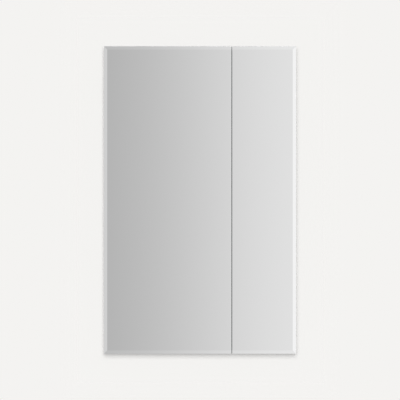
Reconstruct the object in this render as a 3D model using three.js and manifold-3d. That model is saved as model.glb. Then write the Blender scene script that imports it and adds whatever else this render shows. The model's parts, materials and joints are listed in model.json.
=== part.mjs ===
// Medicine cabinet with two frameless, bevelled mirror doors, one wide and one narrow.
// Millimetres, +Z up. The origin is the centre of the rear wall plane; the cabinet stands
// forward of it along -Y, and X runs to the right as seen from the front.
//
// Three working coordinates are used beside x, y and z:
//   u  inboard from a case side's outer face, on the left (side -1) or the right (side +1)
//   v  forward from the case's front plane
//   d  forward from the wall plane
import * as THREE from "three";
import { ConvexGeometry } from "three/addons/geometries/ConvexGeometry.js";
import { mergeVertices } from "three/addons/utils/BufferGeometryUtils.js";
import Module from "manifold-3d";

// ---------------------------------------------------------------- driving dimensions
const MIRROR_WIDTH = 625; // both doors and the gap between them
const MIRROR_HEIGHT = 1000;
const NARROW_MIRROR_WIDTH = 208;
const DOOR_GAP = 2.2;
const MIRROR_OVERHANG = 10; // mirrors past the case, on every side
const MIRROR_THICKNESS = 5;
const BEVEL_WIDTH = 11; // along the outer edges of the pair
const BEVEL_DROP = 1.6;
const ARRIS_WIDTH = 0.8; // the ground corner of the two meeting edges
const ARRIS_DROP = 0.3;

const CASE_DEPTH = 105;
const CASE_WALL = 12;
const CASE_SKIN = 1.6;
const CASE_RIBS = 2;
const LIP_WIDTH = 6; // the inner flange that the back bears against
const LIP_THICKNESS = 2;
const MITRE_GAP = 0.2;

const RAIL_DEPTH = 7.1;
const RAIL_SKIN = 1.6;
const RAIL_HEIGHT = 60;
const BRACE_HEIGHT = 40;
const RAIL_FROM_END = 18; // from the case's inner face
const PANEL_THICKNESS = 1;
const BACK_MIRROR_THICKNESS = 3;
const KEYHOLE_SPACING = 400; // about one stud bay
const KEYHOLE_HEAD = 5; // radii
const KEYHOLE_NECK = 2.6;
const KEYHOLE_RISE = 12;

const SHELF_THICKNESS = 6;
const SHELF_REAR = 16; // d of the rear edge
const SHELF_FRONT_SETBACK = 9; // from the case's front plane
const SHELF_CORNER = 4;
const SHELF_ABOVE_HINGE = 60;
const SHELF_HOLE_PITCH = 32;
const BRACKET_THICKNESS = 2;
const BRACKET_REACH = 9.7;
const BRACKET_SETBACK = 2; // from the shelf's ends
const BRACKET_PIN_RADIUS = 2.5;
const BRACKET_PIN_LENGTH = 4;
const BRACKET_PIN_SETBACK = 14;
const STUD_HOLE_RADIUS = 2.5;
const STUD_HOLE_FROM_HINGE = 90;

const DOOR_STANDOFF = 3; // from the case's front plane to the door frame
const FRAME_INSET = 3; // from the glass edge to the door frame
const FRAME_DEPTH = 15;
const FRAME_SKIN = 1.5;
const FRAME_WIDTH = 18;
const HINGE_STILE_WIDTH = 41;
const FLANGE_WIDTH = 5;
const FLANGE_THICKNESS = 1.6;
const INNER_MIRROR_THICKNESS = 3;

const HINGE_FROM_END = 100; // hinge centre from the case's end
const SWING_CLEARANCE = 0.5; // of the stile's rear corner past the case, as it turns
const HINGE_PIN_RADIUS = 1.5;
const HINGE_EYE_RADIUS = 3.1;
const HINGE_ARM_THICKNESS = 2.4;
const HINGE_ARM_HEIGHT = 15.8;
const HINGE_ARM_LENGTH = 62; // behind the case's front plane
const HINGE_ARM_BEND = 5; // radius
const HINGE_ARM_BEND_AT = 0.5; // v of the bend
const HINGE_EAR_THICKNESS = 4.1;
const HINGE_EAR_GAP = 0.4;
const HINGE_EAR_REACH = 16.2; // inboard of the pin
const HINGE_EAR_BACK = 4.5; // outboard of the pin
const HINGE_TAB_THICKNESS = 1.2;
const HINGE_TAB_REACH = 18.5;
const HINGE_TAB_HEIGHT = 13.6;
const HINGE_WEB_THICKNESS = 2.4;
const HINGE_WEB_WIDTH = 6.7;
const PLATE_THICKNESS = 2.7;
const PLATE_HEIGHT = 44;
const PLATE_LENGTH = 38;
const PLATE_SETBACK = 20;
const PLATE_CORNER = 4;

const CATCH_WIDTH = 15;
const CATCH_HEIGHT = 23.7;
const CATCH_LENGTH = 46;
const CATCH_PROUD = 1.2; // of the case's front plane
const CATCH_FLANGE = 4.5; // each side of the body
const CATCH_FLANGE_THICKNESS = 2.5;
const CATCH_FLANGE_SETBACK = 9; // from the body's two ends
const STRIKE_THICKNESS = 1.2;
const STRIKE_WIDTH = 15;
const STRIKE_HEIGHT = 20;
const STRIKE_CORNER = 2;
const BUMPER_RADIUS = 4;
const SEAL_WIDTH = 4.6;
const SEAL_THICKNESS = 4;
const SEAL_SETBACK = 2; // behind the mirrors
const SEAL_END_SETBACK = 0.5; // from the mirrors' ends

const FIT = 0.3; // between pieces that touch, or turn in each other
const OVERRUN = 1; // of a cutting tool past what it cuts
const ROUND_SIDES = 24;
const HOLE_SIDES = 16;

// ---------------------------------------------------------------- derived places
const CASE_WIDTH = MIRROR_WIDTH - 2 * MIRROR_OVERHANG;
const CASE_HEIGHT = MIRROR_HEIGHT - 2 * MIRROR_OVERHANG;
const WIDE_MIRROR_WIDTH = MIRROR_WIDTH - DOOR_GAP - NARROW_MIRROR_WIDTH;

const PANEL_AT = RAIL_DEPTH + FIT;
const BACK_MIRROR_AT = PANEL_AT + PANEL_THICKNESS + FIT;
const LIP_AT = BACK_MIRROR_AT + BACK_MIRROR_THICKNESS + FIT;
const LIP_FRONT = LIP_AT + LIP_THICKNESS;
const BACK_HALF_WIDTH = CASE_WIDTH / 2 - CASE_WALL - FIT;
const BACK_HALF_HEIGHT = CASE_HEIGHT / 2 - CASE_WALL - FIT;

const HINGE_HEIGHTS = {
  bottom: -(CASE_HEIGHT / 2 - HINGE_FROM_END),
  middle: 0,
  top: CASE_HEIGHT / 2 - HINGE_FROM_END,
};
const SHELF_HEIGHTS = {
  lower: (HINGE_HEIGHTS.bottom + HINGE_HEIGHTS.middle) / 2,
  middle: HINGE_HEIGHTS.middle + SHELF_ABOVE_HINGE,
  upper: (HINGE_HEIGHTS.middle + SHELF_ABOVE_HINGE + HINGE_HEIGHTS.top) / 2,
};
const SHELF_FRONT = CASE_DEPTH - SHELF_FRONT_SETBACK;
const BRACKET_REAR = SHELF_REAR + BRACKET_SETBACK;
const BRACKET_FRONT = SHELF_FRONT - BRACKET_SETBACK;
const BRACKET_PINS_AT = [BRACKET_REAR + BRACKET_PIN_SETBACK, BRACKET_FRONT - BRACKET_PIN_SETBACK];

const FRAME_FRONT = DOOR_STANDOFF + FRAME_DEPTH; // v
const GLASS_BACK = FRAME_FRONT + FIT;
const GLASS_FRONT = GLASS_BACK + MIRROR_THICKNESS;
const FRAME_OUTER = FRAME_INSET - MIRROR_OVERHANG; // u of the hinge stile's outer face
const FRAME_HALF_HEIGHT = MIRROR_HEIGHT / 2 - FRAME_INSET;
const FLANGE_AT = DOOR_STANDOFF + FIT + INNER_MIRROR_THICKNESS + FIT;
const NOTCH_HALF_HEIGHT = HINGE_ARM_HEIGHT / 2 + HINGE_EAR_GAP + HINGE_EAR_THICKNESS + FIT;

// The pin stands behind the front skin of the stile. It is as far inboard as lets the
// stile's rear outer corner turn past the case's front with SWING_CLEARANCE to spare.
const PIVOT_V = FRAME_FRONT - FRAME_SKIN - HINGE_EYE_RADIUS - HINGE_EAR_GAP;
const PIVOT_U =
  FRAME_OUTER + Math.sqrt((PIVOT_V - SWING_CLEARANCE) ** 2 - (PIVOT_V - DOOR_STANDOFF) ** 2);
const NOTCH_WIDTH = PIVOT_U + HINGE_TAB_REACH - FRAME_OUTER;
const STILE_RIB_AT = NOTCH_WIDTH + FIT;

const sideX = (side, u) => side * (CASE_WIDTH / 2 - u);
const forward = (v) => -(CASE_DEPTH + v);

// ---------------------------------------------------------------- materials
const finish = (color, roughness, metalness, extra = {}) =>
  new THREE.MeshStandardMaterial({ color, roughness, metalness, ...extra });
const MATERIALS = {
  mirror: finish(0xc8cacc, 0.04, 1),
  anodised: finish(0xb9bcbf, 0.42, 0.9),
  galvanised: finish(0x9fa4a8, 0.5, 0.85),
  painted: finish(0xd8dadb, 0.5, 0.1),
  glass: finish(0xcfe3dc, 0.05, 0, { transparent: true, opacity: 0.4 }),
  steel: finish(0xa9acaf, 0.3, 1),
  plastic: finish(0xc9cccd, 0.45, 0),
  rubber: finish(0xe4e6e6, 0.6, 0),
};

// ---------------------------------------------------------------- solids
const wasm = await Module();
wasm.setup();

function toSolid(geometry) {
  const bare = geometry.clone();
  bare.deleteAttribute("normal");
  bare.deleteAttribute("uv");
  const merged = mergeVertices(bare, 1e-4);
  return new wasm.Manifold(
    new wasm.Mesh({
      numProp: 3,
      vertProperties: new Float32Array(merged.attributes.position.array),
      triVerts: new Uint32Array(merged.index.array),
    }),
  );
}

function toGeometry(solid) {
  const mesh = solid.getMesh();
  const geometry = new THREE.BufferGeometry();
  geometry.setAttribute("position", new THREE.BufferAttribute(mesh.vertProperties, mesh.numProp));
  geometry.setIndex(new THREE.BufferAttribute(mesh.triVerts, 1));
  geometry.computeVertexNormals();
  return geometry;
}

const join = (pieces) =>
  toGeometry(pieces.map(toSolid).reduce((whole, piece) => whole.add(piece)));
const cut = (body, tools) =>
  toGeometry(tools.map(toSolid).reduce((rest, tool) => rest.subtract(tool), toSolid(body)));

// A section extruded along an axis. Its points are (y, z) along x, (z, x) along y and
// (x, y) along z, and an end may be a function of the point, as in a mitre.
const SECTION_TURN = {
  x: new THREE.Matrix4().makeBasis(
    new THREE.Vector3(0, 1, 0),
    new THREE.Vector3(0, 0, 1),
    new THREE.Vector3(1, 0, 0),
  ),
  y: new THREE.Matrix4().makeBasis(
    new THREE.Vector3(0, 0, 1),
    new THREE.Vector3(1, 0, 0),
    new THREE.Vector3(0, 1, 0),
  ),
  z: new THREE.Matrix4(),
};
function extrude(axis, outline, from, to, holes = [], overrun = 0) {
  const shape = new THREE.Shape(outline.map(([a, b]) => new THREE.Vector2(a, b)));
  const geometry = new THREE.ExtrudeGeometry(shape, { depth: 1, bevelEnabled: false, steps: 1 });
  const at = (end, a, b) => (typeof end === "function" ? end(a, b) : end);
  const position = geometry.attributes.position;
  for (let i = 0; i < position.count; i++) {
    const [a, b] = [position.getX(i), position.getY(i)];
    const [low, high] = [at(from, a, b), at(to, a, b)].sort((p, q) => p - q);
    position.setZ(i, position.getZ(i) < 0.5 ? low - overrun : high + overrun);
  }
  geometry.applyMatrix4(SECTION_TURN[axis]);
  if (!holes.length) return geometry;
  return cut(
    geometry,
    holes.map((hole) => extrude(axis, hole, from, to, [], OVERRUN)),
  );
}

const rectangle = (a0, a1, b0, b1) => [
  [a0, b0],
  [a1, b0],
  [a1, b1],
  [a0, b1],
];
const block = ([x0, x1], [y0, y1], [z0, z1]) => extrude("z", rectangle(x0, x1, y0, y1), z0, z1);

function arc([a, b], radius, from, to, steps) {
  return Array.from({ length: steps + 1 }, (_, i) => {
    const angle = from + ((to - from) * i) / steps;
    return [a + radius * Math.cos(angle), b + radius * Math.sin(angle)];
  });
}
const circle = (centre, radius, sides = ROUND_SIDES) =>
  arc(centre, radius, 0, 2 * Math.PI, sides).slice(0, sides);

function roundedRectangle(a0, a1, b0, b1, radius, steps = 4) {
  const quarter = Math.PI / 2;
  const corners = [
    [a1 - radius, b1 - radius],
    [a0 + radius, b1 - radius],
    [a0 + radius, b0 + radius],
    [a1 - radius, b0 + radius],
  ];
  return corners.flatMap((corner, i) => arc(corner, radius, quarter * i, quarter * (i + 1), steps));
}

// ---------------------------------------------------------------- scene graph
const group = new THREE.Group();
group.name = "medicine_cabinet";

function add(parent, name, geometry, material) {
  const mesh = new THREE.Mesh(geometry, MATERIALS[material]);
  mesh.name = name;
  parent.add(mesh);
}

// ---------------------------------------------------------------- case
// One hollow extrusion serves all four walls: s inboard from the outer face, d from the wall.
function caseSection(place) {
  const inner = CASE_WALL + LIP_WIDTH;
  const outline = [
    [0, 0],
    [0, CASE_DEPTH],
    [CASE_WALL, CASE_DEPTH],
    [CASE_WALL, LIP_FRONT],
    [inner, LIP_FRONT],
    [inner, LIP_AT],
    [CASE_WALL, LIP_AT],
    [CASE_WALL, 0],
  ];
  const cells = CASE_RIBS + 1;
  const cell = (CASE_DEPTH - CASE_SKIN * (cells + 1)) / cells;
  const holes = Array.from({ length: cells }, (_, i) => {
    const start = CASE_SKIN + i * (cell + CASE_SKIN);
    return rectangle(CASE_SKIN, CASE_WALL - CASE_SKIN, start, start + cell);
  });
  return [outline, ...holes].map((path) => path.map(([s, d]) => place(s, d)));
}

function caseSide(side) {
  const [outline, ...holes] = caseSection((s, d) => [sideX(side, s), -d]);
  const end = (x) => CASE_HEIGHT / 2 - (CASE_WIDTH / 2 - Math.abs(x)) - MITRE_GAP;
  const wall = extrude("z", outline, (x) => -end(x), end, holes);
  const toolEnds = (from) => [from - OVERRUN, CASE_WALL + OVERRUN].map((u) => sideX(side, u));
  const pinHoles = Object.values(SHELF_HEIGHTS).flatMap((shelf) =>
    [-SHELF_HOLE_PITCH, 0, SHELF_HOLE_PITCH].flatMap((step) =>
      BRACKET_PINS_AT.map((d) =>
        extrude(
          "x",
          circle([-d, shelf + step], BRACKET_PIN_RADIUS + FIT, HOLE_SIDES),
          ...toolEnds(CASE_WALL - CASE_SKIN),
        ),
      ),
    ),
  );
  const studHoles = [HINGE_HEIGHTS.bottom, HINGE_HEIGHTS.top].map((z) =>
    extrude(
      "x",
      circle([-CASE_DEPTH / 2, z - Math.sign(z) * STUD_HOLE_FROM_HINGE], STUD_HOLE_RADIUS, HOLE_SIDES),
      ...toolEnds(0),
    ),
  );
  return cut(wall, [...pinHoles, ...studHoles]);
}

function caseEnd(level) {
  const [outline, ...holes] = caseSection((s, d) => [-d, level * (CASE_HEIGHT / 2 - s)]);
  const end = (_, z) => CASE_WIDTH / 2 - (CASE_HEIGHT / 2 - Math.abs(z)) - MITRE_GAP;
  return extrude("x", outline, (y, z) => -end(y, z), end, holes);
}

const caseGroup = new THREE.Group();
group.add(caseGroup);
add(caseGroup, "case_left_side", caseSide(-1), "anodised");
add(caseGroup, "case_right_side", caseSide(1), "anodised");
add(caseGroup, "case_top", caseEnd(1), "anodised");
add(caseGroup, "case_bottom", caseEnd(-1), "anodised");

// ---------------------------------------------------------------- back
const backSheet = (d, thickness) =>
  block(
    [-BACK_HALF_WIDTH, BACK_HALF_WIDTH],
    [-d - thickness, -d],
    [-BACK_HALF_HEIGHT, BACK_HALF_HEIGHT],
  );

// A channel whose web lies on the wall and whose legs reach forward to the back panel.
function rail(centre, height) {
  const [low, high] = [centre - height / 2, centre + height / 2];
  const outline = [
    [0, low],
    [0, high],
    [-RAIL_DEPTH, high],
    [-RAIL_DEPTH, high - RAIL_SKIN],
    [-RAIL_SKIN, high - RAIL_SKIN],
    [-RAIL_SKIN, low + RAIL_SKIN],
    [-RAIL_DEPTH, low + RAIL_SKIN],
    [-RAIL_DEPTH, low],
  ];
  return extrude("x", outline, -BACK_HALF_WIDTH, BACK_HALF_WIDTH);
}

// A keyhole passes a screw's head and drops its neck into the slot above.
function keyhole(x, z) {
  const through = [-RAIL_SKIN - OVERRUN, OVERRUN];
  return [
    extrude("y", circle([z, x], KEYHOLE_HEAD), ...through),
    extrude(
      "y",
      roundedRectangle(z, z + KEYHOLE_RISE, x - KEYHOLE_NECK, x + KEYHOLE_NECK, KEYHOLE_NECK - 0.01),
      ...through,
    ),
  ];
}

const railCentre = BACK_HALF_HEIGHT + FIT - RAIL_FROM_END - RAIL_HEIGHT / 2;
const keyholeXs = [-KEYHOLE_SPACING / 2, KEYHOLE_SPACING / 2];
add(caseGroup, "back_panel", backSheet(PANEL_AT, PANEL_THICKNESS), "painted");
add(caseGroup, "back_mirror", backSheet(BACK_MIRROR_AT, BACK_MIRROR_THICKNESS), "mirror");
add(
  caseGroup,
  "hanging_rail",
  cut(
    rail(railCentre, RAIL_HEIGHT),
    keyholeXs.flatMap((x) => keyhole(x, railCentre - KEYHOLE_RISE / 2)),
  ),
  "galvanised",
);
add(caseGroup, "rear_brace", rail(0, BRACE_HEIGHT), "galvanised");
add(
  caseGroup,
  "lower_rail",
  cut(
    rail(-railCentre, RAIL_HEIGHT),
    keyholeXs.map((x) =>
      extrude("y", circle([-railCentre, x], KEYHOLE_NECK), -RAIL_SKIN - OVERRUN, OVERRUN),
    ),
  ),
  "galvanised",
);

// ---------------------------------------------------------------- shelves
const BRACKET_OUTER = CASE_WALL + FIT; // u of the bracket's back
const SHELF_END = BRACKET_OUTER + BRACKET_THICKNESS + FIT;

function shelf(z) {
  const outline = roundedRectangle(
    sideX(-1, SHELF_END),
    sideX(1, SHELF_END),
    -SHELF_FRONT,
    -SHELF_REAR,
    SHELF_CORNER,
  );
  return extrude("z", outline, z - SHELF_THICKNESS / 2, z + SHELF_THICKNESS / 2);
}

// A C-shaped rail that holds the shelf's end, on two pins that plug into the case side.
function shelfBracket(side, z) {
  const slot = SHELF_THICKNESS / 2 + FIT;
  const half = slot + BRACKET_THICKNESS;
  const [back, web, mouth] = [0, BRACKET_THICKNESS, BRACKET_REACH].map((reach) =>
    sideX(side, BRACKET_OUTER + reach),
  );
  const outline = [
    [z - half, back],
    [z - half, mouth],
    [z - slot, mouth],
    [z - slot, web],
    [z + slot, web],
    [z + slot, mouth],
    [z + half, mouth],
    [z + half, back],
  ];
  const pinEnds = [BRACKET_OUTER - BRACKET_PIN_LENGTH, BRACKET_OUTER + BRACKET_THICKNESS / 2];
  const pins = BRACKET_PINS_AT.map((d) =>
    extrude(
      "x",
      circle([-d, z], BRACKET_PIN_RADIUS, HOLE_SIDES),
      ...pinEnds.map((u) => sideX(side, u)),
    ),
  );
  return join([extrude("y", outline, -BRACKET_FRONT, -BRACKET_REAR), ...pins]);
}

for (const [level, z] of Object.entries(SHELF_HEIGHTS)) {
  add(caseGroup, `${level}_shelf`, shelf(z), "glass");
  add(caseGroup, `${level}_shelf_left_bracket`, shelfBracket(-1, z), "plastic");
  add(caseGroup, `${level}_shelf_right_bracket`, shelfBracket(1, z), "plastic");
}

// ---------------------------------------------------------------- hinges
const pivotOf = (side) => [sideX(side, PIVOT_U), forward(PIVOT_V)];

function hingePlate(side, z) {
  const outline = roundedRectangle(
    forward(-PLATE_SETBACK),
    forward(-PLATE_SETBACK - PLATE_LENGTH),
    z - PLATE_HEIGHT / 2,
    z + PLATE_HEIGHT / 2,
    PLATE_CORNER,
  );
  const faces = [CASE_WALL + FIT, CASE_WALL + FIT + PLATE_THICKNESS];
  return extrude("x", outline, ...faces.map((u) => sideX(side, u)));
}

// The outline of a bent strip: its centre line, filleted at the bend and offset both ways.
function bentStrip(start, bend, end, radius, thickness) {
  const [a, b, c] = [start, bend, end].map(([x, y]) => new THREE.Vector2(x, y));
  const back = a.clone().sub(b).normalize();
  const ahead = c.clone().sub(b).normalize();
  const fillet = new THREE.QuadraticBezierCurve(
    b.clone().addScaledVector(back, radius),
    b,
    b.clone().addScaledVector(ahead, radius),
  );
  const line = [a, ...fillet.getPoints(8), c];
  const offset = (amount) =>
    line.map((point, i) => {
      const along = line[Math.min(i + 1, line.length - 1)].clone().sub(line[Math.max(i - 1, 0)]);
      const normal = new THREE.Vector2(-along.y, along.x).normalize();
      return point.clone().addScaledVector(normal, amount).toArray();
    });
  return [...offset(thickness / 2), ...offset(-thickness / 2).reverse()];
}

// A flat arm that lies along the case side, then cranks outboard round the case's front
// edge into the door, where its rolled eye turns on the hinge pin.
function hingeArm(side, z) {
  const armU = CASE_WALL + FIT + PLATE_THICKNESS + FIT + HINGE_ARM_THICKNESS / 2;
  const pivot = pivotOf(side);
  const strip = bentStrip(
    [sideX(side, armU), forward(-HINGE_ARM_LENGTH)],
    [sideX(side, armU), forward(HINGE_ARM_BEND_AT)],
    pivot,
    HINGE_ARM_BEND,
    HINGE_ARM_THICKNESS,
  );
  const ends = [z - HINGE_ARM_HEIGHT / 2, z + HINGE_ARM_HEIGHT / 2];
  const solid = join([
    extrude("z", strip, ...ends),
    extrude("z", circle(pivot, HINGE_EYE_RADIUS), ...ends),
  ]);
  const bore = circle(pivot, HINGE_PIN_RADIUS + FIT);
  return cut(solid, [extrude("z", bore, ends[0] - OVERRUN, ends[1] + OVERRUN)]);
}

// The door's half: two ears either side of the arm's eye, a web that joins them, and two
// tabs that screw to the back of the stile.
function hingeBlock(side, z) {
  const pivot = pivotOf(side);
  const near = HINGE_ARM_HEIGHT / 2 + HINGE_EAR_GAP;
  const far = near + HINGE_EAR_THICKNESS;
  const spanX = (from, to) => [sideX(side, PIVOT_U + from), sideX(side, PIVOT_U + to)];
  const tabBack = DOOR_STANDOFF - FIT - HINGE_TAB_THICKNESS;
  const front = FRAME_FRONT - FRAME_SKIN - FIT;
  const pieces = [
    block(
      spanX(HINGE_EAR_REACH - HINGE_WEB_WIDTH, HINGE_EAR_REACH),
      [forward(front), forward(front - HINGE_WEB_THICKNESS)],
      [z - far, z + far],
    ),
  ];
  for (const way of [-1, 1]) {
    const earZ = [z + way * near, z + way * far];
    const tabZ = [z + way * near, z + way * (far + HINGE_TAB_HEIGHT)];
    pieces.push(
      block(spanX(-HINGE_EAR_BACK, HINGE_EAR_REACH), [forward(front), forward(tabBack)], earZ),
      block(
        spanX(-HINGE_EAR_BACK, HINGE_TAB_REACH),
        [forward(tabBack + HINGE_TAB_THICKNESS), forward(tabBack)],
        tabZ,
      ),
    );
  }
  const bore = circle(pivot, HINGE_PIN_RADIUS + FIT);
  return cut(join(pieces), [extrude("z", bore, z - far - OVERRUN, z + far + OVERRUN)]);
}

function hingePin(side, z) {
  const half = HINGE_ARM_HEIGHT / 2 + HINGE_EAR_GAP + HINGE_EAR_THICKNESS;
  return extrude("z", circle(pivotOf(side), HINGE_PIN_RADIUS), z - half, z + half);
}

// ---------------------------------------------------------------- doors
// w runs inboard across a door, from the glass edge beside its hinges.
const doorX = (door, w) => sideX(door.side, w - MIRROR_OVERHANG);

function frontMirror(door) {
  const back = forward(GLASS_BACK);
  const front = forward(GLASS_FRONT);
  const halfHeight = MIRROR_HEIGHT / 2;
  const [hingeEdge, meetingEdge] = [doorX(door, 0), doorX(door, door.mirrorWidth)];
  const faceX = [doorX(door, BEVEL_WIDTH), doorX(door, door.mirrorWidth - ARRIS_WIDTH)];
  const shoulderX = [hingeEdge, meetingEdge];
  const points = [];
  for (const z of [-1, 1]) {
    for (const x of shoulderX) points.push(new THREE.Vector3(x, back, z * halfHeight));
    for (const x of shoulderX)
      points.push(new THREE.Vector3(x, front + BEVEL_DROP, z * halfHeight));
    for (const x of faceX)
      points.push(new THREE.Vector3(x, front, z * (halfHeight - BEVEL_WIDTH)));
    // The arris of the meeting edge runs up the face and down the two bevels.
    points.push(new THREE.Vector3(meetingEdge, front + ARRIS_DROP, z * (halfHeight - BEVEL_WIDTH)));
  }
  return new ConvexGeometry(points);
}

function frameSection(width, place) {
  const [back, front] = [DOOR_STANDOFF, FRAME_FRONT];
  const outer = width + FLANGE_WIDTH;
  const outline = [
    [0, back],
    [0, front],
    [width, front],
    [width, FLANGE_AT + FLANGE_THICKNESS],
    [outer, FLANGE_AT + FLANGE_THICKNESS],
    [outer, FLANGE_AT],
    [width, FLANGE_AT],
    [width, back],
  ];
  const cell = (from, to) => rectangle(from, to, back + FRAME_SKIN, front - FRAME_SKIN);
  const holes =
    width > STILE_RIB_AT + 3 * FRAME_SKIN
      ? [cell(FRAME_SKIN, STILE_RIB_AT), cell(STILE_RIB_AT + FRAME_SKIN, width - FRAME_SKIN)]
      : [cell(FRAME_SKIN, width - FRAME_SKIN)];
  return [outline, ...holes].map((path) => path.map(([w, v]) => place(w, v)));
}

// A stile runs the door's full height; its flange stops short of the rails.
function stile(door, start, direction, width, notches) {
  const place = (w, v) => [doorX(door, start + direction * w), forward(v)];
  const [outline, ...holes] = frameSection(width, place);
  const body = extrude("z", outline, -FRAME_HALF_HEIGHT, FRAME_HALF_HEIGHT, holes);
  const railDepth = FRAME_WIDTH + FLANGE_WIDTH + FIT;
  const flangeX = [width, width + FLANGE_WIDTH + OVERRUN].map((w) => place(w, 0)[0]);
  const flangeEnds = [-1, 1].map((way) =>
    block(
      flangeX,
      [forward(FLANGE_AT + FLANGE_THICKNESS + OVERRUN), forward(FLANGE_AT - OVERRUN)],
      [FRAME_HALF_HEIGHT - railDepth, FRAME_HALF_HEIGHT + OVERRUN].map((z) => way * z),
    ),
  );
  const notchTools = notches.map((z) =>
    block(
      [place(-OVERRUN, 0)[0], place(NOTCH_WIDTH, 0)[0]],
      [forward(FRAME_FRONT - FRAME_SKIN), forward(DOOR_STANDOFF - OVERRUN)],
      [z - NOTCH_HALF_HEIGHT, z + NOTCH_HALF_HEIGHT],
    ),
  );
  return cut(body, [...flangeEnds, ...notchTools]);
}

const betweenStiles = (door) => [
  doorX(door, FRAME_INSET + HINGE_STILE_WIDTH + FIT),
  doorX(door, door.mirrorWidth - FRAME_INSET - FRAME_WIDTH - FIT),
];

function doorRail(door, level) {
  const place = (w, v) => [forward(v), level * (FRAME_HALF_HEIGHT - w)];
  const [outline, ...holes] = frameSection(FRAME_WIDTH, place);
  return extrude("x", outline, ...betweenStiles(door), holes);
}

function innerMirror(door) {
  const halfHeight = FRAME_HALF_HEIGHT - FRAME_WIDTH - FIT;
  return block(
    betweenStiles(door),
    [forward(DOOR_STANDOFF + FIT + INNER_MIRROR_THICKNESS), forward(DOOR_STANDOFF + FIT)],
    [-halfHeight, halfHeight],
  );
}

const catchX = (door) => doorX(door, door.mirrorWidth - FRAME_INSET - FRAME_WIDTH / 2);

function bumper(door, level) {
  const z = (level * (CASE_HEIGHT - CASE_WALL)) / 2;
  const outline = circle([z, catchX(door)], BUMPER_RADIUS);
  return extrude("y", outline, forward(DOOR_STANDOFF - FIT), forward(FIT));
}

const catchTop = CASE_HEIGHT / 2 - CASE_WALL - FIT;

function doorCatch(door) {
  const x = catchX(door);
  const front = forward(CATCH_PROUD);
  const body = block(
    [x - CATCH_WIDTH / 2, x + CATCH_WIDTH / 2],
    [front, front + CATCH_LENGTH],
    [catchTop - CATCH_HEIGHT, catchTop],
  );
  const half = CATCH_WIDTH / 2 + CATCH_FLANGE;
  const flange = block(
    [x - half, x + half],
    [front + CATCH_FLANGE_SETBACK, front + CATCH_LENGTH - CATCH_FLANGE_SETBACK],
    [catchTop - CATCH_FLANGE_THICKNESS, catchTop],
  );
  return join([body, flange]);
}

function strike(door) {
  const x = catchX(door);
  const z = catchTop - CATCH_HEIGHT / 2;
  const outline = roundedRectangle(
    z - STRIKE_HEIGHT / 2,
    z + STRIKE_HEIGHT / 2,
    x - STRIKE_WIDTH / 2,
    x + STRIKE_WIDTH / 2,
    STRIKE_CORNER,
  );
  const back = DOOR_STANDOFF - FIT - STRIKE_THICKNESS;
  return extrude("y", outline, forward(back + STRIKE_THICKNESS), forward(back));
}

const DOORS = [
  { name: "left", side: -1, mirrorWidth: WIDE_MIRROR_WIDTH, hinges: ["bottom", "middle", "top"] },
  { name: "right", side: 1, mirrorWidth: NARROW_MIRROR_WIDTH, hinges: ["bottom", "top"] },
];

for (const door of DOORS) {
  const leaf = new THREE.Group();
  group.add(leaf);
  const heights = door.hinges.map((level) => HINGE_HEIGHTS[level]);
  const name = `${door.name}_door`;
  const closing = door.mirrorWidth - FRAME_INSET;
  add(leaf, `${name}_mirror`, frontMirror(door), "mirror");
  add(leaf, `${name}_inner_mirror`, innerMirror(door), "mirror");
  add(
    leaf,
    `${name}_hinge_stile`,
    stile(door, FRAME_INSET, 1, HINGE_STILE_WIDTH, heights),
    "anodised",
  );
  add(leaf, `${name}_closing_stile`, stile(door, closing, -1, FRAME_WIDTH, []), "anodised");
  add(leaf, `${name}_top_rail`, doorRail(door, 1), "anodised");
  add(leaf, `${name}_bottom_rail`, doorRail(door, -1), "anodised");
  add(leaf, `${name}_top_bumper`, bumper(door, 1), "rubber");
  add(leaf, `${name}_bottom_bumper`, bumper(door, -1), "rubber");
  add(leaf, `${name}_strike`, strike(door), "steel");
  add(caseGroup, `${door.name}_catch`, doorCatch(door), "plastic");
  for (const level of door.hinges) {
    const z = HINGE_HEIGHTS[level];
    const hinge = `${door.name}_${level}_hinge`;
    add(caseGroup, `${hinge}_plate`, hingePlate(door.side, z), "steel");
    add(caseGroup, `${hinge}_arm`, hingeArm(door.side, z), "steel");
    add(leaf, `${hinge}_block`, hingeBlock(door.side, z), "steel");
    add(leaf, `${hinge}_pin`, hingePin(door.side, z), "steel");
  }
}

// A soft strip on the wide door that closes the gap behind the two mirrors, from end to end.
const sealTop = MIRROR_HEIGHT / 2 - SEAL_END_SETBACK;
const sealBase = doorX(DOORS[0], WIDE_MIRROR_WIDTH - FRAME_INSET) + FIT;
const sealBack = GLASS_BACK - SEAL_SETBACK - SEAL_THICKNESS;
add(
  group,
  "meeting_seal",
  block(
    [sealBase, sealBase + SEAL_WIDTH],
    [forward(sealBack + SEAL_THICKNESS), forward(sealBack)],
    [-sealTop, sealTop],
  ),
  "rubber",
);

export default group;
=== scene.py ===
"""Two-door mirrored medicine cabinet: looks, detail pieces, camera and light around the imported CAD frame.

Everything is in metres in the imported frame: +X to the right, +Z up, the wall at y = 0 and the mirrors
at the lowest y.
"""
import json
import math

import bmesh
import bpy
from mathutils import Matrix, Vector

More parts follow.
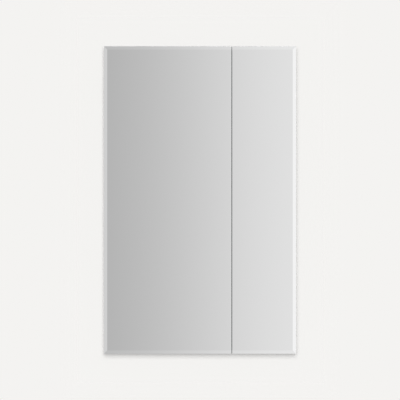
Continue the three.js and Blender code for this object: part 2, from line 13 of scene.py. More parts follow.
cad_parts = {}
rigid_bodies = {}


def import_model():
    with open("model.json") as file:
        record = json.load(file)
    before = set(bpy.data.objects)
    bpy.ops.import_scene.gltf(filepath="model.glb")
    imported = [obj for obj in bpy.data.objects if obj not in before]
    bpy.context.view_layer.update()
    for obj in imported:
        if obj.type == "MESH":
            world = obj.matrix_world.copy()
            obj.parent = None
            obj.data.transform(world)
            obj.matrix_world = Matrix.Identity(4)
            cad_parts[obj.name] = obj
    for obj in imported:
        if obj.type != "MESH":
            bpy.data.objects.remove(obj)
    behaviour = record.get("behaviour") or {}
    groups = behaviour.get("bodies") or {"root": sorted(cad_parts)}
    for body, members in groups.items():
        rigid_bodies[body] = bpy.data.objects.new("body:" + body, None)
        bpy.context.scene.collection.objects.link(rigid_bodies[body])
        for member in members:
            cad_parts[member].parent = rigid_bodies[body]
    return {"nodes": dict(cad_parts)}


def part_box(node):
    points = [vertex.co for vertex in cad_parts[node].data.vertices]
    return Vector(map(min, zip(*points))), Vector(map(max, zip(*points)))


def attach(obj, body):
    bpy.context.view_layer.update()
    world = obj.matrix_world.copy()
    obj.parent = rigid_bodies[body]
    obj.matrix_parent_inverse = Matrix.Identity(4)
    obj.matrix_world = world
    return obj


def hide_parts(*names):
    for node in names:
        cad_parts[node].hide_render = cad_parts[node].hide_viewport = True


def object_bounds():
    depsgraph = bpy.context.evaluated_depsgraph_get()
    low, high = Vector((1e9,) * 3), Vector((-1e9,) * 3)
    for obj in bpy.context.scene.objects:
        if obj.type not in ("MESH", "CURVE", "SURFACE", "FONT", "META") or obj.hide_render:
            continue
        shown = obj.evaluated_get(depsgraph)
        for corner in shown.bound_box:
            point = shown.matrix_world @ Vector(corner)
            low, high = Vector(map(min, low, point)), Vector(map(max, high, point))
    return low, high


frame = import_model()
CAD_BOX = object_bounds()
NODES = frame["nodes"]
MM = 0.001

# ---------------------------------------------------------------- sizes taken from the frame
DOORS = ("left", "right")
SIDE = {"left": -1, "right": 1}
HINGES = {
    side: sorted({n.split("_")[1] for n in NODES if n.startswith(side) and n.endswith("_hinge_pin")})
    for side in DOORS
}
GLASS_FRONT = CAD_BOX[0].y

# Sizes of the glass edge work, as the CAD mirrors have them.
BEVEL_WIDTH = 11 * MM
BEVEL_DROP = 1.6 * MM
ARRIS_WIDTH = 0.8 * MM
ARRIS_DROP = 0.3 * MM


# ---------------------------------------------------------------- camera
VIEW_WIDTH = 1.300  # seen across the picture, at the mirrors
LENS, SENSOR = 100, 36


def make_camera():
    data = bpy.data.cameras.new("camera")
    data.lens = LENS
    data.sensor_width = SENSOR
    data.clip_end = 50
    camera = bpy.data.objects.new("camera", data)
    bpy.context.scene.collection.objects.link(camera)
    centre = (CAD_BOX[0] + CAD_BOX[1]) / 2
    camera.location = (centre.x, GLASS_FRONT - VIEW_WIDTH * LENS / SENSOR, centre.z)
    camera.rotation_euler = (math.radians(90), 0, 0)
    bpy.context.scene.camera = camera
    return camera


CAMERA = make_camera()
bpy.context.scene.view_settings.view_transform = "Standard"


# ---------------------------------------------------------------- node trees
class Tree:
    """Short ways to add and link the nodes of one material or world."""

    def __init__(self, owner):
        owner.use_nodes = True
        self.nodes = owner.node_tree.nodes
        self.links = owner.node_tree.links

    def add(self, kind, inputs=None, **settings):
        node = self.nodes.new(kind)
        for key, value in settings.items():
            setattr(node, key, value)
        for key, value in (inputs or {}).items():
            if isinstance(value, bpy.types.NodeSocket):
                self.links.new(value, node.inputs[key])
            else:
                node.inputs[key].default_value = value
        return node

    def math(self, operation, a, b=0.0, clamp=False):
        return self.add("ShaderNodeMath", {0: a, 1: b}, operation=operation, use_clamp=clamp).outputs[0]

    def map(self, value, low, high, to_low=0.0, to_high=1.0, kind="LINEAR"):
        inputs = {"Value": value, "From Min": low, "From Max": high, "To Min": to_low, "To Max": to_high}
        return self.add("ShaderNodeMapRange", inputs, interpolation_type=kind).outputs["Result"]

    def mix(self, factor, a, b):
        return self.add("ShaderNodeMix", {0: factor, 6: a, 7: b}, data_type="RGBA").outputs[2]

    def ramp(self, value, stops, interpolation="LINEAR"):
        node = self.add("ShaderNodeValToRGB", {"Fac": value})
        node.color_ramp.interpolation = interpolation
        elements = node.color_ramp.elements
        while len(elements) < len(stops):
            elements.new(0.5)
        for element, (position, colour) in zip(elements, stops):
            element.position = position
            element.color = colour
        return node.outputs["Color"]

    def object_coordinates(self, stretch=(1, 1, 1)):
        place = self.add("ShaderNodeTexCoord").outputs["Object"]
        return self.add("ShaderNodeMapping", {"Vector": place, "Scale": stretch}).outputs["Vector"]

    def noise(self, scale, stretch=(1, 1, 1), detail=2.0, roughness=0.5):
        inputs = {
            "Vector": self.object_coordinates(stretch),
            "Scale": scale,
            "Detail": detail,
            "Roughness": roughness,
        }
        return self.add("ShaderNodeTexNoise", inputs).outputs["Fac"]

    def bump(self, height, strength, distance):
        inputs = {"Height": height, "Strength": strength, "Distance": distance}
        return self.add("ShaderNodeBump", inputs).outputs["Normal"]


def gray(value, alpha=1.0):
    return (value, value, value, alpha)


class Surface(Tree):
    """A Principled material. Fixed values go on the shader's own sockets."""

    def __init__(self, name, **values):
        self.material = bpy.data.materials.new(name)
        super().__init__(self.material)
        self.bsdf = self.nodes["Principled BSDF"]
        for key, value in values.items():
            self.bsdf.inputs[key.replace("_", " ")].default_value = value

    def drive(self, key, socket):
        self.links.new(socket, self.bsdf.inputs[key])


# ---------------------------------------------------------------- world
BACKDROP = (0.904, 0.896, 0.880, 1.0)
SILVER = 0.94  # share of light that the mirrors send back

# What the mirrors see of the studio, from left to right, as (sine of the bearing, brightness): one
# soft swell from gray to pale across the camera, and darker far sides. It eases from stop to stop.
STUDIO = (
    (-1.0, 0.42),
    (-0.8, 0.52),
    (-0.6, 0.66),
    (-0.36, 0.63),
    (-0.12, 0.44),
    (0.12, 0.77),
    (0.36, 0.90),
    (0.5, 0.83),
    (0.7, 0.66),
    (1.0, 0.48),
)

# The room behind the cabinet, from below to overhead, as (sine of the elevation, brightness).
REAR = ((-0.8, 0.34), (-0.35, 0.50), (-0.1, 0.72), (0.2, 0.86), (0.7, 1.0))

LIFT, LIFT_TONE = 0.067, 1.34  # how far the studio turns paler above and below, where the level bevels look
DIM_FLOOR = 0.40  # brightness of the floor beyond the mirrors' front view


def make_world():
    world = bpy.data.worlds.new("studio")
    bpy.context.scene.world = world
    tree = Tree(world)
    direction = tree.add("ShaderNodeTexCoord").outputs["Generated"]
    split = tree.add("ShaderNodeSeparateXYZ", {"Vector": direction}).outputs
    squares = [tree.math("POWER", split[axis], 2.0) for axis in (0, 1)]
    level = tree.math("SQRT", tree.math("ADD", *squares))
    bearing = tree.math("DIVIDE", split[0], tree.math("MAXIMUM", level, 1e-4))
    stops = [((h + 1) / 2, gray(value / SILVER)) for h, value in STUDIO]
    room = tree.ramp(tree.map(bearing, -1, 1), stops, "EASE")
    height = tree.math("ABSOLUTE", split[2])
    lifted = tree.mix(tree.map(height, 0.2, 0.4, 0.0, LIFT, "SMOOTHSTEP"), room, gray(LIFT_TONE))
    # beyond the mirrors' front view, a dim floor that starts well below the cabinet
    aside = tree.map(tree.math("ABSOLUTE", bearing), 0.42, 0.55, 0.0, 1.0, "SMOOTHSTEP")
    below = tree.map(split[2], -0.34, -0.46, 0.0, 1.0, "SMOOTHSTEP")
    floored = tree.mix(tree.math("MULTIPLY", aside, below), lifted, gray(DIM_FLOOR))
    # the room behind the cabinet, dim low down and bright overhead
    rear = tree.ramp(tree.map(split[2], -1, 1), [((z + 1) / 2, gray(value)) for z, value in REAR])
    behind = tree.map(split[1], -0.5, -0.2, 0.0, 1.0, "SMOOTHSTEP")
    studio = tree.mix(behind, floored, rear)
    # the camera itself sees the plain backdrop all round
    seen = tree.add("ShaderNodeLightPath").outputs["Is Camera Ray"]
    colour = tree.mix(seen, studio, BACKDROP)
    tree.links.new(colour, tree.nodes["Background"].inputs["Color"])


make_world()


# ---------------------------------------------------------------- materials
def scuffed(surface, base, spread, scale=9.0):
    """Roughness that wanders by `spread` about `base`, from cloudy handling marks and fine wear."""
    cloud = surface.noise(scale, detail=4)
    fine = surface.noise(scale * 14, detail=2)
    both = surface.math("ADD", surface.math("MULTIPLY", cloud, 0.7), surface.math("MULTIPLY", fine, 0.3))
    surface.drive("Roughness", surface.map(both, 0.3, 0.7, base - spread, base + spread))


def tinted(surface, light, dark, scale=6.0):
    """A base colour that drifts between two near tones."""
    surface.drive("Base Color", surface.mix(surface.noise(scale, detail=3), light, dark))


def mirror_silver(name, metallic):
    """Silvered glass. A little less than fully metallic, it stays gray where two mirrors face each other."""
    surface = Surface(name, Metallic=metallic, IOR=1.5)
    tinted(surface, gray(SILVER), gray(SILVER - 0.008), scale=3.0)
    smudge = surface.noise(7.0, detail=5, roughness=0.6)
    surface.drive("Roughness", surface.map(smudge, 0.45, 0.8, 0.004, 0.035))
    return surface.material


def glass_edge():
    surface = Surface("glass_edge", Metallic=0.0, IOR=1.52, Coat_Weight=0.6, Coat_Roughness=0.08)
    streak = surface.noise(60, stretch=(1, 1, 0.08), detail=3)
    surface.drive("Base Color", surface.mix(streak, (0.36, 0.50, 0.46, 1), (0.52, 0.66, 0.61, 1)))
    scuffed(surface, 0.16, 0.05, scale=40)
    return surface.material


def mirror_backing():
    surface = Surface("mirror_backing", Metallic=0.0, IOR=1.46)
    tinted(surface, (0.27, 0.29, 0.30, 1), (0.22, 0.24, 0.25, 1), scale=12)
    scuffed(surface, 0.55, 0.08)
    surface.drive("Normal", surface.bump(surface.noise(420, detail=1), 0.25, 0.1 * MM))
    return surface.material


def anodised(name, along):
    """Satin clear-anodised extrusion: fine die lines run along the bar, with faint drawn bands."""
    stretch = {"x": (0.02, 1, 1), "z": (1, 1, 0.02)}[along]
    surface = Surface(name, Metallic=1.0, IOR=1.45)
    lines = surface.noise(1400, stretch=stretch, detail=3)
    bands = surface.noise(90, stretch=stretch, detail=2)
    surface.drive("Base Color", surface.mix(bands, (0.60, 0.61, 0.625, 1), (0.53, 0.54, 0.555, 1)))
    wear = surface.noise(8, detail=4)
    grain = surface.math("ADD", surface.math("MULTIPLY", lines, 0.5), surface.math("MULTIPLY", wear, 0.5))
    surface.drive("Roughness", surface.map(grain, 0.3, 0.7, 0.30, 0.46))
    surface.drive("Normal", surface.bump(lines, 0.10, 0.05 * MM))
    return surface.material


def galvanised():
    """Hot-dip spangle: flat crystals a few millimetres across, each with its own tone and gloss."""
    surface = Surface("galvanised", Metallic=1.0, IOR=1.45)
    warp = surface.noise(120, detail=2)
    offset = surface.add("ShaderNodeVectorMath", {0: warp, "Scale": 4 * MM}, operation="SCALE").outputs[0]
    place = {0: surface.object_coordinates(), 1: offset}
    shifted = surface.add("ShaderNodeVectorMath", place, operation="ADD").outputs[0]
    cells = surface.add("ShaderNodeTexVoronoi", {"Vector": shifted, "Scale": 150.0})
    tone = surface.add("ShaderNodeSeparateColor", {"Color": cells.outputs["Color"]}).outputs["Red"]
    surface.drive("Base Color", surface.mix(tone, (0.46, 0.475, 0.49, 1), (0.60, 0.615, 0.63, 1)))
    surface.drive("Roughness", surface.map(tone, 0.0, 1.0, 0.30, 0.52))
    surface.drive("Normal", surface.bump(cells.outputs["Distance"], 0.06, 0.1 * MM))
    return surface.material


def powder_coat():
    surface = Surface("powder_coat", Metallic=0.0, IOR=1.5)
    tinted(surface, (0.47, 0.475, 0.48, 1), (0.43, 0.435, 0.44, 1), scale=5)
    scuffed(surface, 0.45, 0.07)
    peel = surface.noise(600, detail=2)
    surface.drive("Normal", surface.bump(peel, 0.22, 0.12 * MM))
    return surface.material


def nickel(name, base, roughness):
    surface = Surface(name, Metallic=1.0, IOR=1.45)
    warm = (base * 1.02, base, base * 0.96, 1)
    cool = (base * 0.88, base * 0.87, base * 0.86, 1)
    tinted(surface, warm, cool, scale=70)
    scuffed(surface, roughness, 0.05, scale=40)
    surface.drive("Normal", surface.bump(surface.noise(900, stretch=(1, 1, 0.15)), 0.03, 0.03 * MM))
    return surface.material


def moulded(name, light, dark, roughness):
    """Spark-eroded moulded plastic, slightly uneven in tone."""
    surface = Surface(name, Metallic=0.0, IOR=1.49)
    tinted(surface, light, dark, scale=25)
    scuffed(surface, roughness, 0.06, scale=30)
    surface.drive("Normal", surface.bump(surface.noise(1600, detail=2), 0.2, 0.06 * MM))
    return surface.material


def shelf_glass():
    """Clear float glass: nearly colourless through its thickness, green through its length."""
    surface = Surface("shelf_glass", IOR=1.52, Transmission_Weight=1.0)
    tinted(surface, (0.90, 0.975, 0.955, 1), (0.88, 0.965, 0.94, 1), scale=4)
    film = surface.noise(10, detail=4)
    surface.drive("Roughness", surface.map(film, 0.5, 0.9, 0.0, 0.05))
    clear = surface.add("ShaderNodeBsdfTransparent", {"Color": (0.90, 0.97, 0.95, 1)})
    path = surface.add("ShaderNodeLightPath")
    mixed = surface.add(
        "ShaderNodeMixShader",
        {0: path.outputs["Is Shadow Ray"], 1: surface.bsdf.outputs[0], 2: clear.outputs[0]},
    )
    surface.links.new(mixed.outputs[0], surface.nodes["Material Output"].inputs["Surface"])
    return surface.material


MATERIALS = {
    "silver": mirror_silver("mirror_silver", 1.0),
    "inner_silver": mirror_silver("inner_mirror_silver", 0.93),
    "glass_edge": glass_edge(),
    "backing": mirror_backing(),
    "anodised_upright": anodised("anodised_upright", "z"),
    "anodised_level": anodised("anodised_level", "x"),
    "galvanised": galvanised(),
    "powder": powder_coat(),
    "nickel": nickel("nickel_plate", 0.70, 0.26),
    "screw": nickel("screw_steel", 0.55, 0.32),
    "plastic": moulded("moulded_plastic", (0.72, 0.73, 0.73, 1), (0.68, 0.69, 0.69, 1), 0.42),
    "dark_plastic": moulded("end_cap_plastic", (0.34, 0.35, 0.36, 1), (0.30, 0.31, 0.32, 1), 0.45),
    "rubber": moulded("soft_rubber", (0.40, 0.41, 0.42, 1), (0.35, 0.36, 0.37, 1), 0.6),
    "bumper": moulded("bumper_rubber", (0.80, 0.82, 0.82, 1), (0.74, 0.76, 0.76, 1), 0.35),
    "glass": shelf_glass(),
}


# ---------------------------------------------------------------- carried-over CAD nodes
def dress(node, material, soften=0.25 * MM):
    """Gives a CAD node its material, and breaks its sharp edges with a small bevel."""
    piece = NODES[node]
    piece.data.materials.clear()
    piece.data.materials.append(MATERIALS[material])
    weld = piece.modifiers.new("weld", "WELD")
    weld.merge_threshold = 1e-6
    bevel = piece.modifiers.new("soft_edges", "BEVEL")
    bevel.width = soften
    bevel.segments = 2
    bevel.limit_method = "ANGLE"
    bevel.angle_limit = math.radians(40)
    bevel.use_clamp_overlap = True


def dress_frame():
    for node in NODES:
        if node in ("case_top", "case_bottom") or node.endswith(("top_rail", "bottom_rail")):
            dress(node, "anodised_level")
        elif node in ("case_left_side", "case_right_side") or node.endswith("stile"):
            dress(node, "anodised_upright")
        elif node in ("hanging_rail", "rear_brace", "lower_rail"):
            dress(node, "galvanised")
        elif node.endswith("_shelf"):
            dress(node, "glass", 0.6 * MM)
        elif node.endswith(("_bracket", "_catch")):
            dress(node, "plastic", 0.35 * MM)
        elif "_hinge_" in node or node.endswith("_strike"):
            dress(node, "nickel")
        elif node in ("back_mirror", "left_door_inner_mirror", "right_door_inner_mirror"):
            dress(node, "inner_silver")


dress_frame()


# ---------------------------------------------------------------- mesh helpers
def make_piece(name, bm, materials, body, replaces=(), smooth=None):
    """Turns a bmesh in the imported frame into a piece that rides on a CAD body."""
    bmesh.ops.recalc_face_normals(bm, faces=bm.faces)
    mesh = bpy.data.meshes.new(name)
    if smooth is not None:
        for face in bm.faces:
            face.smooth = True
        for edge in bm.edges:
            edge.smooth = len(edge.link_faces) == 2 and edge.calc_face_angle(0) < math.radians(smooth)
    bm.to_mesh(mesh)
    bm.free()
    piece = bpy.data.objects.new(name, mesh)
    bpy.context.scene.collection.objects.link(piece)
    for material in materials:
        mesh.materials.append(MATERIALS[material])
    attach(piece, body)
    if replaces:
        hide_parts(*replaces)
    return piece


def round_box(bm, low, high, radius):
    """A box with rounded edges, added to bm."""
    size = Vector(high) - Vector(low)
    centre = (Vector(high) + Vector(low)) / 2
    made = bmesh.ops.create_cube(bm, size=1, matrix=Matrix.Translation(centre) @ Matrix.Diagonal((*size, 1)))
    edges = {edge for vert in made["verts"] for edge in vert.link_edges}
    bmesh.ops.bevel(
        bm, geom=list(edges), offset=radius, segments=2, affect="EDGES", profile=0.5, clamp_overlap=True
    )


def turning(axis):
    """A rotation that takes +Z to the axis."""
    return Vector(axis).normalized().to_track_quat("Z", "Y").to_matrix()


RING = 24  # points round a ring


def ring_stack(bm, origin, axis, rings):
    """A closed solid of rings about an axis. A ring is (radius or function of the angle, height)."""
    turn = turning(axis)
    loops = []
    for radius, height in rings:
        loop = []
        for i in range(RING):
            angle = 2 * math.pi * i / RING
            reach = radius(angle) if callable(radius) else radius
            point = Vector((reach * math.cos(angle), reach * math.sin(angle), height))
            loop.append(bm.verts.new(Vector(origin) + turn @ point))
        loops.append(loop)
    bm.faces.new(list(reversed(loops[0])))
    bm.faces.new(loops[-1])
    for low, high in zip(loops, loops[1:]):
        for i in range(RING):
            j = (i + 1) % RING
            bm.faces.new((low[i], low[j], high[j], high[i]))


def cross_recess(arm, half_width):
    """The radius of a cross-shaped driver recess at an angle."""

    def radius(angle):
        c, s = abs(math.cos(angle)), abs(math.sin(angle))
        across = min(arm / max(c, 1e-6), half_width / max(s, 1e-6))
        upright = min(arm / max(s, 1e-6), half_width / max(c, 1e-6))
        return max(across, upright)

    return radius


def screw_head(bm, origin, axis, radius, height):
    """A pan head with a cross recess, standing on its origin along the axis."""
    recess = cross_recess(radius * 0.58, radius * 0.17)
    floor = cross_recess(radius * 0.40, radius * 0.12)
    ring_stack(
        bm,
        origin,
        axis,
        [
            (radius * 0.96, 0),
            (radius, height * 0.12),
            (radius * 0.97, height * 0.5),
            (radius * 0.86, height * 0.82),
            (radius * 0.7, height),
            (recess, height),
            (floor, height * 0.25),
        ],
    )


def corners(node):
    low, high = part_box(node)
    return low, high, (low + high) / 2


# ---------------------------------------------------------------- front mirrors
def front_mirror(side):
    """A bevelled pane: silvered face and bevels, polished green edge, painted back."""
    node = f"{side}_door_mirror"
    low, high, _ = corners(node)
    outward = SIDE[side]
    outer, meeting = (high.x, low.x) if outward > 0 else (low.x, high.x)
    bm = bmesh.new()
    for top in (-1, 1):
        edge_z = top * high.z
        face_z = top * (high.z - BEVEL_WIDTH)
        for x in (outer, meeting):
            bm.verts.new((x, high.y, edge_z))
            bm.verts.new((x, low.y + BEVEL_DROP, edge_z))
        bm.verts.new((outer - outward * BEVEL_WIDTH, low.y, face_z))
        bm.verts.new((meeting + outward * ARRIS_WIDTH, low.y, face_z))
        bm.verts.new((meeting, low.y + ARRIS_DROP, face_z))
    hull = bmesh.ops.convex_hull(bm, input=bm.verts)
    bmesh.ops.delete(bm, geom=[v for v in hull["geom_interior"] if isinstance(v, bmesh.types.BMVert)])
    bmesh.ops.dissolve_limit(bm, angle_limit=math.radians(0.5), verts=bm.verts, edges=bm.edges)
    bmesh.ops.bevel(bm, geom=list(bm.edges), offset=0.15 * MM, segments=1, affect="EDGES")
    bmesh.ops.recalc_face_normals(bm, faces=bm.faces)
    for face in bm.faces:
        face.material_index = 0 if face.normal.y < -0.5 else 2 if face.normal.y > 0.9 else 1
    make_piece(
        f"{side}_front_mirror",
        bm,
        ("silver", "glass_edge", "backing"),
        f"{side}_door",
        replaces=[node],
    )


for door in DOORS:
    front_mirror(door)


# ---------------------------------------------------------------- screws
# Radius and height of each kind of screw head.
SCREW_HEADS = {
    "plate": (3.6 * MM, 1.4 * MM),
    "arm": (3.2 * MM, 1.5 * MM),
    "block": (3.0 * MM, 0.9 * MM),
    "catch": (1.9 * MM, 1.0 * MM),
    "strike": (3.0 * MM, 0.7 * MM),
    "rail": (2.7 * MM, 1.2 * MM),
}
PLATE_SCREW_INSET = 6.5 * MM  # from the ends of a hinge plate
ARM_SCREWS_AT = (9 * MM, 30 * MM)  # forward of a hinge arm's rear end
BLOCK_SCREW_INSET = 6 * MM
CATCH_SCREW_INSET = 2.3 * MM
CATCH_SCREW_DEPTH = 2.5 * MM  # below the top of a catch
RAIL_SCREW_INSET = 10 * MM


def hinge_screws(side, on_case, on_door):
    inward = (-SIDE[side], 0, 0)
    for level in HINGES[side]:
        low, high, centre = corners(f"{side}_{level}_hinge_plate")
        face = low.x if SIDE[side] > 0 else high.x
        for z in (low.z + PLATE_SCREW_INSET, high.z - PLATE_SCREW_INSET):
            screw_head(on_case, (face, centre.y, z), inward, *SCREW_HEADS["plate"])
        low, high, centre = corners(f"{side}_{level}_hinge_arm")
        face = low.x if SIDE[side] > 0 else high.x
        for forward in ARM_SCREWS_AT:
            screw_head(on_case, (face, high.y - forward, centre.z), inward, *SCREW_HEADS["arm"])
        low, high, centre = corners(f"{side}_{level}_hinge_block")
        for z in (low.z + BLOCK_SCREW_INSET, high.z - BLOCK_SCREW_INSET):
            screw_head(on_door, (centre.x, high.y, z), (0, 1, 0), *SCREW_HEADS["block"])


def catch_screws(side, on_case, on_door):
    low, high, centre = corners(f"{side}_catch")
    for x in (low.x + CATCH_SCREW_INSET, high.x - CATCH_SCREW_INSET):
        place = (x, centre.y, high.z - CATCH_SCREW_DEPTH)
        screw_head(on_case, place, (0, 0, -1), *SCREW_HEADS["catch"])
    _, high, centre = corners(f"{side}_door_strike")
    screw_head(on_door, (centre.x, high.y, centre.z), (0, 1, 0), *SCREW_HEADS["strike"])


def rail_screws(side, on_case):
    case_low, case_high, _ = corners(f"case_{side}_side")
    face = case_high.x if SIDE[side] > 0 else case_low.x
    for rail in ("hanging_rail", "rear_brace", "lower_rail"):
        low, high, centre = corners(rail)
        for z in (low.z + RAIL_SCREW_INSET, high.z - RAIL_SCREW_INSET):
            screw_head(on_case, (face, centre.y, z), (SIDE[side], 0, 0), *SCREW_HEADS["rail"])


def screws():
    """Pan-head screws on the hinges, catches, strikes and rail ends, one piece for each body."""
    groups = {"case": bmesh.new(), "left_door": bmesh.new(), "right_door": bmesh.new()}
    for side in DOORS:
        on_case, on_door = groups["case"], groups[f"{side}_door"]
        hinge_screws(side, on_case, on_door)
        catch_screws(side, on_case, on_door)
        rail_screws(side, on_case)
    for body, bm in groups.items():
        make_piece(f"{body}_screws", bm, ["screw"], body, smooth=40)


screws()


# ---------------------------------------------------------------- bumpers, seal, end caps, catches
def bumpers(side):
    """Soft domes at the closing corners of a door."""
    bm = bmesh.new()
    nodes = [f"{side}_door_{level}_bumper" for level in ("top", "bottom")]
    for node in nodes:
        low, high, centre = corners(node)
        radius, height = (high.x - low.x) / 2, high.y - low.y
        turns = (0, 0.35, 0.7, 1.05, 1.35)
        dome = [(radius * math.cos(turn), height * (0.35 + 0.65 * math.sin(turn))) for turn in turns]
        ring_stack(bm, (centre.x, low.y, centre.z), (0, 1, 0), [(radius * 0.97, 0), *dome])
    make_piece(f"{side}_bumpers", bm, ["bumper"], f"{side}_door", nodes, smooth=35)


def meeting_seal():
    """A bulb seal: a flat base on the stile and a soft round nose across the gap."""
    low, high, centre = corners("meeting_seal")
    depth = high.y - low.y
    nose = depth / 2
    outline = [(low.x, low.y), (low.x, high.y)]
    outline += [
        (high.x - nose + nose * math.cos(a), centre.y + nose * math.sin(a))
        for a in [math.pi / 2 - math.pi * i / 10 for i in range(11)]
    ]
    bm = bmesh.new()
    ends = [[bm.verts.new((x, y, z)) for x, y in outline] for z in (low.z, high.z)]
    bm.faces.new(ends[0])
    bm.faces.new(list(reversed(ends[1])))
    for i in range(len(outline)):
        j = (i + 1) % len(outline)
        bm.faces.new((ends[0][i], ends[0][j], ends[1][j], ends[1][i]))
    make_piece("bulb_seal", bm, ["rubber"], "left_door", ["meeting_seal"], smooth=30)


STILE_FLANGE = 5 * MM
CAP_LIP = 1.4 * MM
PLUG_LENGTH, PLUG_REACH = 9 * MM, 14 * MM  # into the stile, and across it from its edge
PLUG_SET_IN = 1.8 * MM


def end_caps(side):
    """Moulded plugs in the open ends of the stiles, with a lip over the bar's end."""
    bm = bmesh.new()
    for kind in ("hinge_stile", "closing_stile"):
        low, high, _ = corners(f"{side}_door_{kind}")
        outward = SIDE[side] if kind == "hinge_stile" else -SIDE[side]
        # the flange side of the stile stays open, so the cap covers the box only
        x0, x1 = (low.x + STILE_FLANGE, high.x) if outward > 0 else (low.x, high.x - STILE_FLANGE)
        for top in (-1, 1):
            z0, z1 = sorted((top * high.z, top * (high.z + CAP_LIP)))
            round_box(bm, (x0, low.y, z0), (x1, high.y, z1), 0.5 * MM)
            z0, z1 = sorted((top * high.z, top * (high.z - PLUG_LENGTH)))
            plug_low = (x0 + PLUG_SET_IN, low.y + PLUG_SET_IN, z0)
            round_box(bm, plug_low, (x0 + PLUG_REACH, high.y - PLUG_SET_IN, z1), 0.4 * MM)
    make_piece(f"{side}_door_end_caps", bm, ["dark_plastic"], f"{side}_door", smooth=30)


POLE_SPREAD = 4.5 * MM  # from the middle of the catch
POLE_HALF, POLE_DEPTH = 0.7 * MM, 6 * MM
POLE_PROUD = 0.15 * MM
POLE_END_INSET = 5 * MM


def pole_plates():
    """The two steel plates beside the magnet, in the front of each catch."""
    bm = bmesh.new()
    for side in DOORS:
        low, high, centre = corners(f"{side}_catch")
        front = low.y - POLE_PROUD
        for x in (centre.x - POLE_SPREAD, centre.x + POLE_SPREAD):
            plate_low = (x - POLE_HALF, front, low.z + POLE_END_INSET)
            plate_high = (x + POLE_HALF, front + POLE_DEPTH, high.z - POLE_END_INSET)
            round_box(bm, plate_low, plate_high, 0.15 * MM)
    make_piece("catch_pole_plates", bm, ["screw"], "case", smooth=30)


for door in DOORS:
    bumpers(door)
    end_caps(door)
meeting_seal()
pole_plates()


# ---------------------------------------------------------------- back panel
def rounded_loop(bm, x0, x1, z0, z1, radius, y, steps=5):
    """Vertices of a rounded rectangle that faces the wall, in order."""
    loop = []
    left, right, foot, head = x0 + radius, x1 - radius, z0 + radius, z1 - radius
    centres = ((right, head), (left, head), (left, foot), (right, foot))
    for quarter, (cx, cz) in enumerate(centres):
        for i in range(steps + 1):
            angle = math.pi / 2 * (quarter + i / steps)
            loop.append(bm.verts.new((cx + radius * math.cos(angle), y, cz + radius * math.sin(angle))))
    return loop


def loop_edges(bm, loop):
    return [bm.edges.new((a, b)) for a, b in zip(loop, loop[1:] + loop[:1])]


def back_panel():
    """Pressed steel panel with two raised fields between the rails, to stiffen it."""
    low, high, _ = corners("back_panel")
    brace_low, brace_high, _ = corners("rear_brace")
    margin, slope, rise = 34 * MM, 7 * MM, 3.5 * MM
    foot_radius, crest_radius = 22 * MM, 17 * MM
    fields = [
        (brace_high.z + margin, corners("hanging_rail")[0].z - margin),
        (corners("lower_rail")[1].z + margin, brace_low.z - margin),
    ]
    bm = bmesh.new()
    rim = ((low.x, low.z), (high.x, low.z), (high.x, high.z), (low.x, high.z))
    flat_edges = loop_edges(bm, [bm.verts.new((x, high.y, z)) for x, z in rim])
    for z0, z1 in fields:
        x0, x1 = low.x + margin, high.x - margin
        foot = rounded_loop(bm, x0, x1, z0, z1, foot_radius, high.y)
        flat_edges += loop_edges(bm, foot)
        x0, x1, z0, z1 = x0 + slope, x1 - slope, z0 + slope, z1 - slope
        crest = rounded_loop(bm, x0, x1, z0, z1, crest_radius, high.y + rise)
        for i, vert in enumerate(foot):
            j = (i + 1) % len(foot)
            bm.faces.new((vert, foot[j], crest[j], crest[i]))
        bm.faces.new(crest)
    bmesh.ops.triangle_fill(bm, use_beauty=True, edges=flat_edges)
    bmesh.ops.recalc_face_normals(bm, faces=bm.faces)
    bmesh.ops.solidify(bm, geom=list(bm.faces), thickness=-(high.y - low.y))
    make_piece("pressed_back_panel", bm, ["powder"], "case", ["back_panel"], smooth=50)


back_panel()


# ---------------------------------------------------------------- light and stage
def lamp(name, kind, energy, location, size, glossy=True):
    """A lamp that faces the cabinet. The size is the side of a square or the radius of a bulb."""
    data = bpy.data.lights.new(name, kind)
    data.energy = energy
    if kind == "AREA":
        data.shape = "SQUARE"
        data.size = size
    else:
        data.shadow_soft_size = size
    made = bpy.data.objects.new(name, data)
    bpy.context.scene.collection.objects.link(made)
    made.location = location
    made.rotation_euler = (-Vector(location)).to_track_quat("-Z", "Y").to_euler()
    made.visible_glossy = glossy
    return made


def make_lights():
    lamp("overhead_softbox", "AREA", 10, (0.3, -0.9, 2.3), size=1.6)
    lamp("left_softbox", "AREA", 7, (-2.0, -1.8, 0.6), size=1.4, glossy=False)
    lamp("rear_left_softbox", "AREA", 5, (-1.9, 1.3, 0.4), size=1.5)
    lamp("rear_right_softbox", "AREA", 14, (1.8, 1.2, 1.3), size=1.2)


make_lights()

# The backdrop behind the cabinet is a pale wall that glows by itself and takes soft shadows from lamps of
# its own, round the camera. It is not there from behind.
WALL_LAMPS = {
    # name: share of the wall's light, steps to the right of and above the camera, radius
    "wall_lamp_above": (0.255, 0.0, 0.365, 0.225),
    "wall_lamp_left": (0.11, -0.21, 0.10, 0.19),
    "wall_lamp_right": (0.14, 0.137, 0.10, 0.13),
}
AMBIENT_SHARE = 0.028  # what the studio itself adds to so dark a paint
FALLOFF = 0.056  # share of the light that the lamps lose, for each square metre from their middle
WALL_ALBEDO = 0.038
STAGE_REACH = 6.0  # the sheets end outside every view, long after they have faded out
WALL_SHOWS = (0.40, 0.60)  # half the width and height in which the wall shows in full
WALL_FADE = 0.08
FLOOR_DROP = 0.45  # below the cabinet


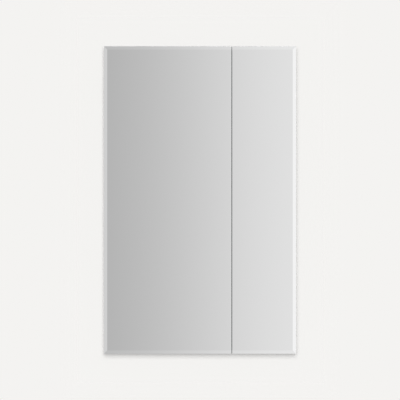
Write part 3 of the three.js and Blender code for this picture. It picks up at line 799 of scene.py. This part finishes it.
def wall_material():
    material = bpy.data.materials.new("backdrop_wall")
    tree = Tree(material)
    tree.nodes.clear()
    place = tree.object_coordinates()
    lamps_share = sum(share for share, *_ in WALL_LAMPS.values())
    own_share = 1 - AMBIENT_SHARE - lamps_share
    middle = (0, 0, sum(share * above for share, _, above, _ in WALL_LAMPS.values()) / lamps_share)
    reach = tree.add("ShaderNodeVectorMath", {0: place, 1: middle}, operation="DISTANCE").outputs["Value"]
    lost = tree.math("MULTIPLY", tree.math("POWER", reach, 2.0), FALLOFF)
    strength = tree.math("ADD", lost, own_share)
    glow = tree.add("ShaderNodeEmission", {"Color": BACKDROP, "Strength": strength}).outputs[0]
    dark = tuple(c * WALL_ALBEDO for c in BACKDROP[:3]) + (1,)
    paint = tree.add("ShaderNodeBsdfDiffuse", {"Color": dark}).outputs[0]
    lit = tree.add("ShaderNodeAddShader", {0: glow, 1: paint}).outputs[0]
    split = tree.add("ShaderNodeSeparateXYZ", {"Vector": place}).outputs
    gone = tree.add("ShaderNodeNewGeometry").outputs["Backfacing"]
    for axis, shows in zip((0, 2), WALL_SHOWS):
        away = tree.math("ABSOLUTE", split[axis])
        faded = tree.map(away, shows, shows + WALL_FADE, 0.0, 1.0, "SMOOTHSTEP")
        gone = tree.math("MAXIMUM", gone, faded)
    clear = tree.add("ShaderNodeBsdfTransparent").outputs[0]
    mixed = tree.add("ShaderNodeMixShader", {0: gone, 1: lit, 2: clear}).outputs[0]
    tree.add("ShaderNodeOutputMaterial", {"Surface": mixed})
    return material


def floor_material():
    material = bpy.data.materials.new("studio_floor")
    tree = Tree(material)
    tree.nodes.clear()
    paint = tree.add("ShaderNodeBsdfDiffuse", {"Color": (0.86, 0.855, 0.84, 1)}).outputs[0]
    place = tree.object_coordinates()
    reach = tree.add("ShaderNodeVectorMath", {0: place}, operation="LENGTH").outputs["Value"]
    gone = tree.map(reach, 0.35, 1.1, 0.35, 1.0, "SMOOTHSTEP")
    clear = tree.add("ShaderNodeBsdfTransparent").outputs[0]
    mixed = tree.add("ShaderNodeMixShader", {0: gone, 1: paint, 2: clear}).outputs[0]
    tree.add("ShaderNodeOutputMaterial", {"Surface": mixed})
    return material


def stage_sheet(name, points, material):
    mesh = bpy.data.meshes.new(name)
    mesh.from_pydata(points, [], [range(len(points))])
    mesh.materials.append(material)
    sheet = bpy.data.objects.new(name, mesh)
    bpy.context.scene.collection.objects.link(sheet)
    for ray in ("visible_diffuse", "visible_glossy", "visible_transmission", "visible_shadow"):
        setattr(sheet, ray, False)
    return sheet


def make_stage():
    wall = stage_sheet(
        "backdrop_wall",
        [(x * STAGE_REACH, 0, z * STAGE_REACH) for x, z in ((-1, -1), (1, -1), (1, 1), (-1, 1))],
        wall_material(),
    )
    wall.location = (0, CAD_BOX[1].y + 0.5 * MM, 0)
    turns = [math.pi * i / 32 for i in range(64)]
    rim = [(STAGE_REACH * math.cos(turn), STAGE_REACH * math.sin(turn), 0) for turn in turns]
    floor = stage_sheet("studio_floor", rim, floor_material())
    floor.location = (0, -0.1, CAD_BOX[0].z - FLOOR_DROP)
    # The wall's lamps light only the wall, and every other lamp leaves the wall alone.
    wall_only = bpy.data.collections.new("lit_by_wall_lamps")
    wall_only.objects.link(wall)
    not_wall = bpy.data.collections.new("lit_by_studio")
    for thing in bpy.context.scene.objects:
        if thing is not wall and thing.type == "MESH":
            not_wall.objects.link(thing)
    for thing in bpy.context.scene.objects:
        if thing.type == "LIGHT":
            thing.light_linking.receiver_collection = not_wall
    for name, (share, across, above, radius) in WALL_LAMPS.items():
        place = CAMERA.location + Vector((across, 0, above))
        distance = (place - wall.location).length
        facing = (wall.location.y - place.y) / distance
        energy = share * math.pi / (WALL_ALBEDO * facing) * 4 * math.pi * distance**2
        made = lamp(name, "POINT", energy, place, size=radius, glossy=False)
        made.light_linking.receiver_collection = wall_only


make_stage()
